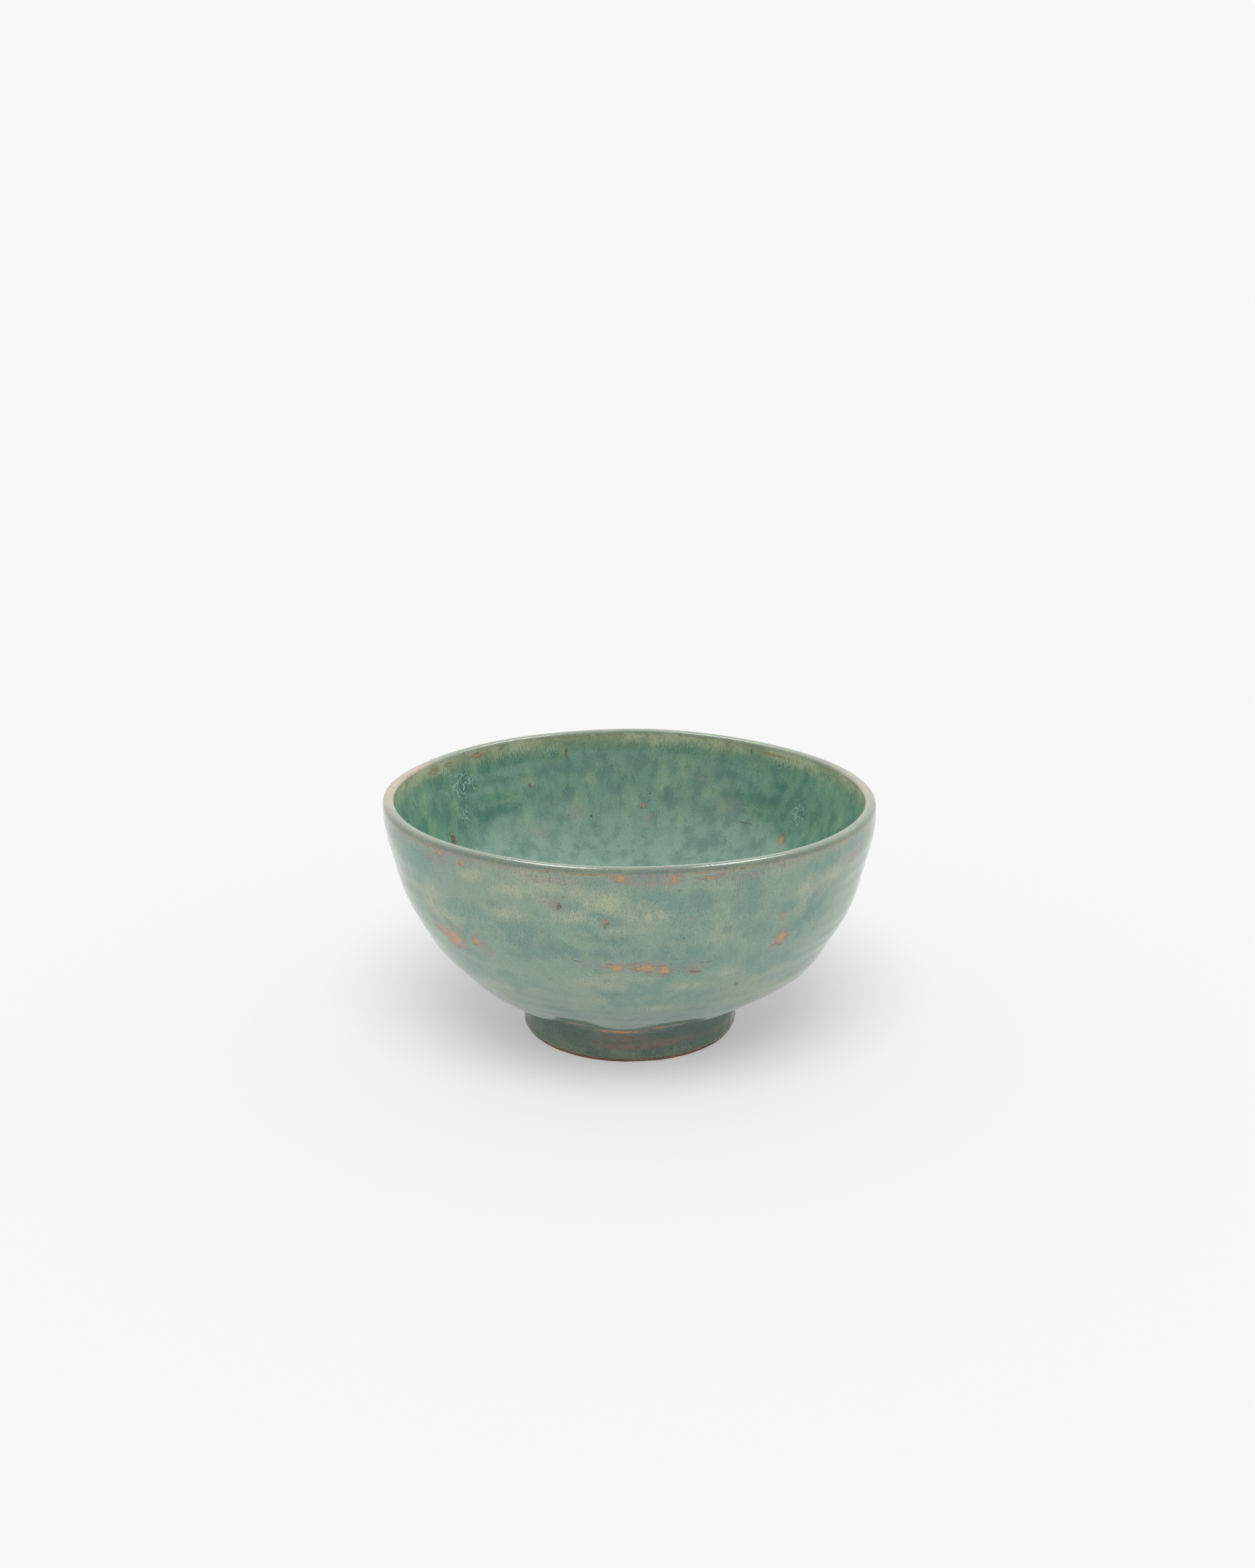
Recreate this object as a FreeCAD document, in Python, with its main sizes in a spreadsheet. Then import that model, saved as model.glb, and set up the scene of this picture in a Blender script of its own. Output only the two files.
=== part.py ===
"""Matcha bowl: a thrown stoneware bowl on a luted foot ring, with its three coats of glaze.

Sizes are in millimetres. +Z is up, and the foot ring stands on Z = 0, centred on the Z axis.
Every piece is turned about that axis, so each outline is drawn in the XZ plane, as radius and height.
The clay pieces are drawn at their own sizes. Each coat of glaze follows them at one thickness.
"""

import FreeCAD, Part
import itertools
import math
import os
from collections import namedtuple

import Sketcher

# The points of a sketched line or arc, and the sketch's own origin and axes.
START, END, CENTRE = 1, 2, 3
ORIGIN = (-1, START)
LEVEL_AXIS, UPRIGHT_AXIS = -1, -2

LEVEL = math.pi / 2  # the lean of a level surface: a lean is counted from the upright
TINY = 1e-6  # mm
SHARED_VOLUME_LIMIT = 0.01  # mm3 that two touching pieces may share through rounding

SIZES = {
    # The clay's lip: the circle that its crest runs on, the crest's height, and its half round.
    "lip_circle_radius": 68.6,
    "lip_height": 70.55,
    "lip_round": 0.95,
    # The outside of the clay wall, from the top down to the flat base that the foot ring sits on.
    "shoulder_radius": 68.95,
    "shoulder_height": 63.0,
    "waist_radius": 66.4,
    "waist_height": 50.6,
    "belly_radius": 42.0,
    "belly_height": 16.2,
    "base_height": 13.5,
    # The inside of the clay wall, from the top down to the flat floor.
    "inner_shoulder_radius": 66.8,
    "inner_shoulder_height": 63.2,
    "inner_waist_radius": 63.45,
    "inner_waist_height": 51.0,
    "inner_belly_radius": 41.5,
    "inner_belly_height": 22.6,
    "floor_height": 18.4,
    # The foot ring, and the bead of clay that is pressed into its outer corner.
    "foot_outer_radius": 30.55,
    "foot_inner_radius": 25.0,
    "foot_edge_round": 0.8,
    "bead_round": 1.65,
    # The glaze, its pool in the foot well's corner, and the height that is wiped bare at the foot.
    "glaze": 0.45,
    "well_corner_round": 1.5,
    "bare_height": 1.2,
}

# One edge of an outline, travelled from its first point to its last.
Edge = namedtuple("Edge", "shape first last")


def add_sheet(doc):
    sheet = doc.addObject("Spreadsheet::Sheet", "Sizes")
    for row, (alias, value) in enumerate(SIZES.items(), start=1):
        sheet.set(f"A{row}", alias)
        sheet.set(f"B{row}", str(value))
        sheet.setAlias(f"B{row}", alias)
    doc.recompute()


class Outline:
    """A body with one sketch in the XZ plane, whose dimensions are bound to the sheet."""

    def __init__(self, doc, label):
        self.label = label
        self.body = doc.addObject("PartDesign::Body", label)
        self.body.Placement = FreeCAD.Placement()
        self.sketch = self.body.newObject("Sketcher::SketchObject", f"{label}_outline")
        planes = [plane for plane in self.body.Origin.OriginFeatures if plane.Role == "XZ_Plane"]
        self.sketch.AttachmentSupport = [(planes[0], "")]
        self.sketch.MapMode = "FlatFace"

    def fix(self, kind, *where, size):
        """A dimension that follows a cell of the sheet."""
        index = self.sketch.addConstraint(Sketcher.Constraint(kind, *where, SIZES[size]))
        name = f"{size}_{index}"
        self.sketch.renameConstraint(index, name)
        self.sketch.setExpression(f"Constraints.{name}", f"Sizes.{size}")

    def fix_point(self, shape, point, radius=None, height=None):
        if radius:
            self.fix("DistanceX", *ORIGIN, shape, point, size=radius)
        if height:
            self.fix("DistanceY", *ORIGIN, shape, point, size=height)

    def tie(self, kind, *where):
        self.sketch.addConstraint(Sketcher.Constraint(kind, *where))

    def place(self, shape, point):
        found = self.sketch.getPoint(shape, point)
        return found.x, found.y

    def line(self, start, end):
        ends = [FreeCAD.Vector(*corner, 0) for corner in (start, end)]
        return self.sketch.addGeometry(Part.LineSegment(*ends), False)

    def line_on(self, edge, end, direction):
        """A level or upright line that goes on from an edge's last point."""
        line = self.line(self.place(edge.shape, edge.last), end)
        self.tie("Coincident", edge.shape, edge.last, line, START)
        self.tie(direction, line)
        return Edge(line, START, END)

    def close(self, start, end):
        """A line between two points that the outline already has."""
        line = self.line(self.place(*start), self.place(*end))
        self.tie("Coincident", *start, line, START)
        self.tie("Coincident", *end, line, END)
        return line

    def arc(self, centre, radius, first, last):
        """An arc from the angle first anticlockwise to the angle last."""
        circle = Part.Circle(FreeCAD.Vector(*centre, 0), FreeCAD.Vector(0, 0, 1), radius)
        return self.sketch.addGeometry(Part.ArcOfCircle(circle, first, last), False)

    def arc_down(self, edge, lean, lower_lean, radius):
        """An arc that goes on down from an edge's last point, tangent to the edge."""
        start_radius, start_height = self.place(edge.shape, edge.last)
        centre = (start_radius - radius * math.cos(lean), start_height + radius * math.sin(lean))
        arc = self.arc(centre, radius, -lower_lean, -lean)
        self.tie("Tangent", edge.shape, edge.last, arc, END)
        return Edge(arc, END, START)

    def revolve(self):
        turned = self.body.newObject("PartDesign::Revolution", f"{self.label}_turned")
        turned.Profile = self.sketch
        turned.ReferenceAxis = (self.sketch, ["V_Axis"])
        turned.Angle = 360
        return turned


def add_lip(outline, outside, crest=None):
    """A quarter round from the crest to one side of the wall."""
    half = SIZES["lip_round"]
    turn = 0 if outside else math.pi / 2
    centre = (SIZES["lip_circle_radius"], SIZES["lip_height"] - half)
    quarter = outline.arc(centre, half, turn, turn + math.pi / 2)
    lip = Edge(quarter, END, START) if outside else Edge(quarter, START, END)
    if crest:
        outline.tie("Coincident", crest.shape, crest.first, lip.shape, lip.first)
    else:
        outline.fix_point(lip.shape, lip.first, "lip_circle_radius", "lip_height")
    outline.fix("Radius", lip.shape, size="lip_round")
    outline.tie("Vertical", lip.shape, lip.first, lip.shape, CENTRE)
    outline.tie("Horizontal", lip.shape, lip.last, lip.shape, CENTRE)
    return lip


def add_wall(outline, lip, stations, level_height):
    """The lip, tangent arcs down through the stations, and a last arc that runs out level."""
    edges, lean = [lip], 0.0
    for station in stations:
        radius_there, height_there = SIZES[f"{station}_radius"], SIZES[f"{station}_height"]
        start_radius, start_height = outline.place(edges[-1].shape, edges[-1].last)
        inward, drop = start_radius - radius_there, start_height - height_there
        chord_lean = math.atan2(inward, drop)
        bend = math.hypot(inward, drop) / (2 * math.sin(chord_lean - lean))
        lower_lean = 2 * chord_lean - lean
        edges.append(outline.arc_down(edges[-1], lean, lower_lean, bend))
        outline.fix_point(edges[-1].shape, edges[-1].last, f"{station}_radius", f"{station}_height")
        lean = lower_lean
    drop = outline.place(edges[-1].shape, edges[-1].last)[1] - SIZES[level_height]
    edges.append(outline.arc_down(edges[-1], lean, LEVEL, drop / (1 - math.sin(lean))))
    outline.fix_point(edges[-1].shape, edges[-1].last, height=level_height)
    outline.tie("Vertical", edges[-1].shape, edges[-1].last, edges[-1].shape, CENTRE)
    return edges


def add_outer_wall(outline):
    return add_wall(outline, add_lip(outline, True), ("shoulder", "waist", "belly"), "base_height")


def add_inner_wall(outline, crest=None):
    stations = ("inner_shoulder", "inner_waist", "inner_belly")
    return add_wall(outline, add_lip(outline, False, crest), stations, "floor_height")


def add_flat_to_axis(outline, edge):
    flat = outline.line_on(edge, (0, outline.place(edge.shape, edge.last)[1]), "Horizontal")
    outline.tie("PointOnObject", flat.shape, flat.last, UPRIGHT_AXIS)
    return flat


def add_bead(outline, base):
    """The hollow round between the flat base and the foot ring's outer side."""
    bend = SIZES["bead_round"]
    centre = (SIZES["foot_outer_radius"] + bend, SIZES["base_height"] - bend)
    bead = Edge(outline.arc(centre, bend, math.pi / 2, math.pi), START, END)
    outline.tie("Tangent", base.shape, base.last, bead.shape, bead.first)
    outline.fix("Radius", bead.shape, size="bead_round")
    outline.fix_point(bead.shape, bead.last, radius="foot_outer_radius")
    outline.tie("Horizontal", bead.shape, bead.last, bead.shape, CENTRE)
    return bead


def add_coat(outline, clay, air_on_left):
    """Edges that run along the clay's edges at the glaze's thickness, and the coat's two ends."""
    glaze = SIZES["glaze"] if air_on_left else -SIZES["glaze"]
    coat = []
    for edge in clay:
        shape = outline.sketch.Geometry[edge.shape]
        if isinstance(shape, Part.ArcOfCircle):
            bend = shape.Radius + (glaze if edge.first == END else -glaze)
            centre = (shape.Center.x, shape.Center.y)
            over = outline.arc(centre, bend, shape.FirstParameter, shape.LastParameter)
            outline.tie("Coincident", over, CENTRE, edge.shape, CENTRE)
        else:
            start, end = shape.StartPoint, shape.EndPoint
            along = (end - start).normalize()
            off = FreeCAD.Vector(-along.y, along.x, 0) * glaze
            over = outline.line(tuple(start + off)[:2], tuple(end + off)[:2])
            outline.tie("Parallel", over, edge.shape)
        if coat:
            outline.tie("Tangent", coat[-1].shape, coat[-1].last, over, edge.first)
        coat.append(Edge(over, edge.first, edge.last))
    crest = outline.close((clay[0].shape, clay[0].first), (coat[0].shape, coat[0].first))
    outline.tie("Vertical", crest)
    outline.fix("Distance", crest, size="glaze")
    return coat


def make_bowl_body(doc):
    outline = Outline(doc, "bowl_body")
    outer = add_outer_wall(outline)
    base = add_flat_to_axis(outline, outer[-1])
    inner = add_inner_wall(outline, crest=outer[0])
    floor = add_flat_to_axis(outline, inner[-1])
    outline.close((base.shape, base.last), (floor.shape, floor.last))
    outline.revolve()
    return outline.body


def make_foot_ring(doc):
    outline = Outline(doc, "foot_ring")
    inner, outer = SIZES["foot_inner_radius"], SIZES["foot_outer_radius"]
    top = SIZES["base_height"]
    corners = [(inner, 0), (outer, 0), (outer, top), (inner, top)]
    sides = [outline.line(start, end) for start, end in zip(corners, corners[1:] + corners[:1])]
    for side, following in zip(sides, sides[1:] + sides[:1]):
        outline.tie("Coincident", side, END, following, START)
    for side, direction in zip(sides, ("Horizontal", "Vertical", "Horizontal", "Vertical")):
        outline.tie(direction, side)
    outline.tie("PointOnObject", sides[0], START, LEVEL_AXIS)
    outline.fix_point(sides[0], START, radius="foot_inner_radius")
    outline.fix_point(sides[1], END, "foot_outer_radius", "base_height")
    turned = outline.revolve()
    doc.recompute()
    edges = enumerate(turned.Shape.Edges, start=1)
    standing_edges = [f"Edge{number}" for number, edge in edges if edge.BoundBox.ZMax < TINY]
    rounded = outline.body.newObject("PartDesign::Fillet", "foot_ring_rounded")
    rounded.Base = (turned, standing_edges)
    rounded.setExpression("Radius", "Sizes.foot_edge_round")
    return outline.body


def make_luting_bead(doc):
    outline = Outline(doc, "luting_bead")
    foot, top = SIZES["foot_outer_radius"], SIZES["base_height"]
    base = Edge(outline.line((foot, top), (foot + SIZES["bead_round"], top)), START, END)
    outline.fix_point(base.shape, base.first, "foot_outer_radius", "base_height")
    outline.tie("Horizontal", base.shape)
    bead = add_bead(outline, base)
    outline.close((base.shape, base.first), (bead.shape, bead.last))
    outline.revolve()
    return outline.body


def make_inside_glaze(doc):
    outline = Outline(doc, "inside_glaze")
    clay = add_inner_wall(outline)
    clay.append(add_flat_to_axis(outline, clay[-1]))
    coat = add_coat(outline, clay, air_on_left=False)
    outline.tie("PointOnObject", coat[-1].shape, coat[-1].last, UPRIGHT_AXIS)
    outline.close((clay[-1].shape, clay[-1].last), (coat[-1].shape, coat[-1].last))
    outline.revolve()
    return outline.body


def make_outside_glaze(doc):
    outline = Outline(doc, "outside_glaze")
    clay = add_outer_wall(outline)
    bead_reach = SIZES["foot_outer_radius"] + SIZES["bead_round"]
    clay.append(outline.line_on(clay[-1], (bead_reach, SIZES["base_height"]), "Horizontal"))
    clay.append(add_bead(outline, clay[-1]))
    foot_side = outline.line_on(clay[-1], (SIZES["foot_outer_radius"], SIZES["bare_height"]), "Vertical")
    outline.fix_point(foot_side.shape, foot_side.last, height="bare_height")
    clay.append(foot_side)
    coat = add_coat(outline, clay, air_on_left=True)
    bare_end = outline.close((clay[-1].shape, clay[-1].last), (coat[-1].shape, coat[-1].last))
    outline.tie("Horizontal", bare_end)
    outline.revolve()
    return outline.body


def make_foot_well_glaze(doc):
    """The coat under the bowl inside the foot ring, which pools in the corner as a hollow round."""
    outline = Outline(doc, "foot_well_glaze")
    side, roof, glaze = SIZES["foot_inner_radius"], SIZES["base_height"], SIZES["glaze"]
    bend, bare = SIZES["well_corner_round"], SIZES["bare_height"]
    middle = Edge(outline.line((0, roof - glaze), (0, roof)), START, END)
    outline.tie("PointOnObject", middle.shape, middle.first, UPRIGHT_AXIS)
    outline.tie("Vertical", middle.shape)
    outline.fix_point(middle.shape, middle.last, height="base_height")
    outline.fix("Distance", middle.shape, size="glaze")
    under_base = outline.line_on(middle, (side, roof), "Horizontal")
    on_ring = outline.line_on(under_base, (side, bare), "Vertical")
    outline.fix_point(on_ring.shape, on_ring.last, "foot_inner_radius", "bare_height")
    bare_end = outline.line_on(on_ring, (side - glaze, bare), "Horizontal")
    outline.fix("Distance", bare_end.shape, size="glaze")
    well_side = outline.line_on(bare_end, (side - glaze, roof - glaze - bend), "Vertical")
    centre = (side - glaze - bend, roof - glaze - bend)
    corner = Edge(outline.arc(centre, bend, 0, math.pi / 2), START, END)
    outline.tie("Tangent", well_side.shape, well_side.last, corner.shape, corner.first)
    outline.fix("Radius", corner.shape, size="well_corner_round")
    outline.tie("Vertical", corner.shape, corner.last, corner.shape, CENTRE)
    outline.tie("Horizontal", outline.close((corner.shape, corner.last), (middle.shape, middle.first)))
    outline.revolve()
    return outline.body


def check_document(doc, bodies):
    doc.recompute()
    for item in doc.Objects:
        if {"Invalid", "Error"} & set(item.State):
            raise RuntimeError(f"{item.Label} failed: {item.State}")
        if item.isDerivedFrom("Sketcher::SketchObject") and not item.FullyConstrained:
            raise RuntimeError(f"{item.Label} isn't fully constrained")
    for body in bodies:
        if body.Shape.isNull() or not body.Shape.isValid() or len(body.Shape.Solids) != 1:
            raise RuntimeError(f"{body.Label} isn't one valid solid")
    for first, second in itertools.combinations(bodies, 2):
        shared = first.Shape.common(second.Shape).Volume
        if shared > SHARED_VOLUME_LIMIT:
            raise RuntimeError(f"{first.Label} and {second.Label} share {shared:.3f} mm3")


def main():
    doc = FreeCAD.newDocument("matcha_bowl")
    add_sheet(doc)
    makers = (
        make_bowl_body,
        make_foot_ring,
        make_luting_bead,
        make_inside_glaze,
        make_outside_glaze,
        make_foot_well_glaze,
    )
    bodies = [make(doc) for make in makers]
    check_document(doc, bodies)
    os.makedirs("parts", exist_ok=True)
    for body in bodies:
        body.Shape.exportStep(f"parts/{body.Label}.step")
        print(f"{body.Label}: {body.Shape.Volume:.0f} mm3")


main()
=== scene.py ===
"""Looks of the matcha bowl: hand-formed stoneware under a mottled sage green glaze.

Every piece is turned from a section, as on a wheel, and then all of them share one hand-formed
unevenness, so that clay and glaze stay together. Lengths are in millimetres until a mesh is made.
An azimuth is in degrees, 0 at the front (-Y) and 90 at the right (+X).
"""

import math

import bpy
import numpy as np
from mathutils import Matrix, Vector, noise


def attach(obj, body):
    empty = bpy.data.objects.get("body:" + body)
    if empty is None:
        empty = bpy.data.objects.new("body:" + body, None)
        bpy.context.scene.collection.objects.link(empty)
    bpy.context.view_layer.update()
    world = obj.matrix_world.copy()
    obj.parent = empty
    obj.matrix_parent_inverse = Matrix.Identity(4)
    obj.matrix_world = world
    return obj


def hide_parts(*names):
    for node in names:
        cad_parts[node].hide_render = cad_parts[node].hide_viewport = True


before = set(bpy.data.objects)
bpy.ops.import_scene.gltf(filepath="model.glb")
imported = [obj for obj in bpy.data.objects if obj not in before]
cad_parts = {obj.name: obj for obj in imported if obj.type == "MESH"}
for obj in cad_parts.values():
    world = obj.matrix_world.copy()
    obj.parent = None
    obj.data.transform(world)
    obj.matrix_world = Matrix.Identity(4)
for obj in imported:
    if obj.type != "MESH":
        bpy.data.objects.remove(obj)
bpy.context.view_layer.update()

MM = 0.001  # metres in a millimetre

# The section, as in the CAD: radius and height.
LIP_CIRCLE, LIP_TOP, LIP_ROUND = 68.6, 70.55, 0.95
OUTER_STATIONS, BASE = ((68.95, 63.0), (66.4, 50.6), (42.0, 16.2)), 13.5
INNER_STATIONS, FLOOR = ((66.8, 63.2), (63.45, 51.0), (41.5, 22.6)), 18.4
FOOT_OUTER, FOOT_INNER, FOOT_EDGE, BEAD, BARE = 30.55, 25.0, 0.8, 1.65, 1.2
LIP_SQUARENESS, LIP_SWELL = 0.74, 0.4  # 1 is a true round; the swell thickens it inwards
GLAZE = 0.45
WELL_CORNER = 1.5
SKIN = 0.03  # what keeps the hidden side of a coat off the clay

COLUMNS = 600
ROW_STEP, FOOT_STEP, FLOOR_STEP = 1.0, 0.6, 1.6  # along the section, where it shows
HIDDEN_STEPS = (3.5, 3.5)
ROUND_STEPS = 6  # along a small rounded edge
RING_PITCH = 4.7  # of the spiral that the fingers leave while throwing
TINY = 1e-6
GRAIN_RADIUS = 55.0  # of the cylinder that the relief's noise is read on
WALL_DRAWN_IN, RIM_SET_DOWN = 0.38, 0.46  # these keep the uneven wall and rim inside the true round
FAR_DOWN = 100  # a place in the glaze's pattern that is well clear of the lip


# ---------------------------------------------------------------- sections

def smooth(value, low, high):
    share = np.clip((value - low) / (high - low), 0, 1)
    return share * share * (3 - 2 * share)


def lip_points(offset, outside, angles):
    """Points round the lip, from its crest at 0 degrees to the side at 90."""
    turn = np.radians(angles)
    side = 1 if outside else -1
    radius = LIP_CIRCLE + side * (LIP_ROUND + offset) * np.sin(turn) ** LIP_SQUARENESS
    height = LIP_TOP - LIP_ROUND + (LIP_ROUND + offset) * np.cos(turn) ** LIP_SQUARENESS
    return np.column_stack((radius, np.maximum(height, LIP_TOP - LIP_ROUND)))


def wall_arcs(stations, level, outside):
    """The tangent arcs of one side of the wall, as in the CAD: centre, bend and the two leans."""
    start = np.array((LIP_CIRCLE + (LIP_ROUND if outside else -LIP_ROUND), LIP_TOP - LIP_ROUND))
    arcs, lean = [], 0.0
    for station in stations:
        inward, drop = start - station
        chord_lean = math.atan2(inward, drop)
        bend = math.hypot(inward, drop) / (2 * math.sin(chord_lean - lean))
        centre = start + bend * np.array((-math.cos(lean), math.sin(lean)))
        arcs.append((centre, bend, lean, 2 * chord_lean - lean))
        start, lean = np.array(station), 2 * chord_lean - lean
    bend = (start[1] - level) / (1 - math.sin(lean))
    centre = start + bend * np.array((-math.cos(lean), math.sin(lean)))
    arcs.append((centre, bend, lean, math.pi / 2))
    return arcs


def wall_points(arcs, offset, step):
    """Points down the wall, off the clay by offset and about step apart, without the first one."""
    points = []
    for centre, bend, lean, lower_lean in arcs:
        count = max(2, round(bend * (lower_lean - lean) / step))
        turn = np.linspace(lean, lower_lean, count + 1)[1:]
        points.append(centre + (bend + offset) * np.column_stack((np.cos(turn), -np.sin(turn))))
    return np.vstack(points)


def straight(start, end, step):
    """Points from start to end, without the first one."""
    count = max(1, round(math.dist(start, end) / step))
    return np.linspace(start, end, count + 1)[1:]


def hollow_round(centre, bend, first, last, count):
    turn = np.radians(np.linspace(first, last, count + 1))
    return centre + bend * np.column_stack((np.cos(turn), np.sin(turn)))


LIP_ANGLES = (0, 1, 3, 7, 13, 20, 28, 37, 46, 56, 67, 78, 90)
HIDDEN_LIP_ANGLES = (0, 30, 60, 90)
OUTER_ARCS = wall_arcs(OUTER_STATIONS, BASE, True)
INNER_ARCS = wall_arcs(INNER_STATIONS, FLOOR, False)


def outer_face(offset, angles=LIP_ANGLES, step=ROW_STEP, foot_step=FOOT_STEP):
    """The outside from the crest down to the foot's bare edge, off the clay by offset."""
    corner = np.array((FOOT_OUTER + BEAD, BASE - BEAD))
    wall = wall_points(OUTER_ARCS, offset, step)
    bead = hollow_round(corner, BEAD - offset, 90, 180, max(2, round(BEAD / foot_step)))
    join = straight(wall[-1], bead[0], foot_step)
    side = straight(bead[-1], (FOOT_OUTER + offset, BARE), foot_step)
    return np.vstack((lip_points(offset, True, angles), wall, join, bead[1:], side))


def inner_face(offset, angles=LIP_ANGLES, step=ROW_STEP, floor_step=FLOOR_STEP):
    """The inside from the crest down to the middle of the floor, off the clay by offset."""
    wall = wall_points(INNER_ARCS, -offset, step)
    floor = straight(wall[-1], (0, FLOOR + offset), floor_step)
    section = np.vstack((lip_points(offset, False, angles), wall, floor))
    swell = LIP_SWELL * smooth(section[:, 1], 56, 67) * smooth(section[:, 0], LIP_CIRCLE, LIP_CIRCLE - 1)
    return section - np.column_stack((swell, np.zeros(len(section))))


# ---------------------------------------------------------------- the hand-formed shape

def hump(value, middle, reach):
    return np.exp(-((value - middle) / reach) ** 2)


def turn_from(azimuth, middle):
    """Degrees from middle, the short way round."""
    return (azimuth - middle + 180) % 360 - 180


def wave(azimuth, lobes, phase):
    return np.cos(np.radians(lobes * azimuth - phase))


def placed(azimuth, radius, height):
    around = np.radians(azimuth)
    return np.stack((radius * np.sin(around), -radius * np.cos(around), height), axis=-1)


def grain(azimuth, down, size, stretch=1.0, seed=0.0):
    """Smooth noise of about -1 to 1. size is a feature's width in mm, and stretch its height in widths."""
    places = placed(azimuth, GRAIN_RADIUS, down / stretch) / size + seed
    flat = [noise.noise(Vector(place)) for place in places.reshape(-1, 3)]
    return 2 * np.array(flat).reshape(azimuth.shape)


# Pinches and swellings left by the hands: azimuth, height, reach round in degrees, reach up, depth in mm.
PINCHES = (
    (61, 24.5, 20, 5.5, 1.1),
    (95, 26, 26, 5.5, 0.6),
    (76, 48, 24, 16, 0.45),
    (-62, 25, 18, 4.0, -0.7),
    (-72, 38, 20, 7, -0.2),
    (124, 72, 32, 22, -1.2),
    (-120, 72, 28, 22, -0.9),
    (88, 41, 20, 4.0, 0.3),
    (100, 33, 14, 3.5, -0.45),
    (80, 52, 22, 4.5, -0.25),
    (-88, 32, 34, 10, -0.75),
    (-96, 22, 30, 5, -0.5),
    (-70, 27, 12, 4, 0.35),
    (20, 38, 16, 6, -0.3),
    (-28, 46, 20, 6, 0.25),
    (150, 30, 24, 7, 0.5),
    (190, 44, 26, 8, -0.45),
    (235, 24, 18, 5, 0.4),
)

# Where the rim rises and dips: azimuth, reach round, rise.
RIM_RISES = ((180, 26, 0.42), (122, 30, -0.35), (-112, 26, -0.2))

# Where the wall's underside swells or draws in just above the foot ring, in the same columns as a pinch.
UNDERSIDE = (
    (-34, 16.5, 8, 2.5, 0.5),
    (-21, 16.0, 7, 2.2, -0.8),
    (-3, 15.5, 11, 2.5, 0.55),
    (20, 15.5, 10, 2.2, -0.55),
    (30, 16.0, 5, 2.0, 0.35),
    (48, 16.5, 9, 2.5, -0.4),
    (-60, 16.0, 10, 2.5, 0.4),
    (95, 16.0, 14, 2.5, 0.5),
    (140, 15.5, 12, 2.5, -0.6),
    (175, 16.0, 10, 2.5, 0.5),
    (214, 15.5, 12, 2.5, -0.5),
    (255, 16.0, 10, 2.5, 0.6),
)


def bumps(azimuth, height, places):
    total = 0.0
    for middle, level, around, up, depth in places:
        total = total + depth * hump(turn_from(azimuth, middle), 0, around) * hump(height, level, up)
    return total


def hand_form(azimuth, radius, height):
    """Where a point of the true round lies on the bowl as it was thrown, pinched and set down."""
    wall = smooth(height, BASE, 40)
    lobes = 0.16 * wave(azimuth, 2, 180) + 0.1 * wave(azimuth, 3, 70) + 0.06 * wave(azimuth, 5, 200)
    collar = 0.3 * hump(height, 63, 5)
    swell = bumps(azimuth, height, PINCHES) * smooth(height, 14, 20)
    outward = (lobes - WALL_DRAWN_IN) * wall + collar + swell
    rim_waves = 0.2 * wave(azimuth, 1, 235) + 0.1 * wave(azimuth, 3, 20) + 0.06 * wave(azimuth, 7, 100)
    rim_rise = rim_waves - RIM_SET_DOWN
    for middle, reach, rise in RIM_RISES:
        rim_rise = rim_rise + rise * hump(turn_from(azimuth, middle), 0, reach)
    return radius + outward * smooth(radius, 12, 40), height + rim_rise * smooth(height, 35, 71)


# ---------------------------------------------------------------- meshes

def spun(section):
    """The section's points all the way round: grids of azimuth, radius and height, and the
    distance down the section."""
    around = np.arange(COLUMNS) * 360.0 / COLUMNS
    steps = np.linalg.norm(np.diff(section, axis=0), axis=1)
    down = np.concatenate(((0.0,), np.cumsum(steps)))
    columns = (around, section[:, :1], section[:, 1:], down[:, None])
    return np.broadcast_arrays(*columns)


def normals(grid, outside):
    """Unit normals of a grid of points that runs down the outside or the inside of the bowl."""
    down = np.gradient(grid, axis=0)
    across = np.roll(grid, -1, axis=1) - np.roll(grid, 1, axis=1)
    normal = np.cross(down, across) if outside else np.cross(across, down)
    return normal / np.maximum(np.linalg.norm(normal, axis=-1, keepdims=True), 1e-9)


def relief(azimuth, radius, height, down, outside):
    """How far clay and glaze alike stand off the formed wall: throwing rings and uneven clay."""
    seed = 0.0 if outside else 40.0
    ring = np.sin(2 * np.pi * (down / RING_PITCH + azimuth / 360))
    rings = 0.05 * ring * (0.7 + 0.6 * grain(azimuth, down, 18, 0.5, seed + 3))
    uneven = 0.14 * grain(azimuth, down, 24, 0.6, seed) + 0.07 * grain(azimuth, down, 9, 0.5, seed + 7)
    total = (rings + uneven) * smooth(down, 2, 8) * smooth(radius, 12, 36) * (1 if outside else 0.6)
    if outside:
        underside = bumps(azimuth, height, UNDERSIDE) * smooth(radius, 31.5, 38)
        total = total * smooth(height, BASE, 24) + underside
    return total


def formed(section, outside, skin=None):
    """A face of the bowl, hand-formed. skin adds the glaze's own relief."""
    azimuth, radius, height, down = spun(section)
    grid = placed(azimuth, *hand_form(azimuth, radius, height))
    off = relief(azimuth, radius, height, down, outside)
    if skin is not None:
        off = off + skin(azimuth, radius, height, down)
    return grid + normals(grid, outside) * off[..., None]


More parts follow.
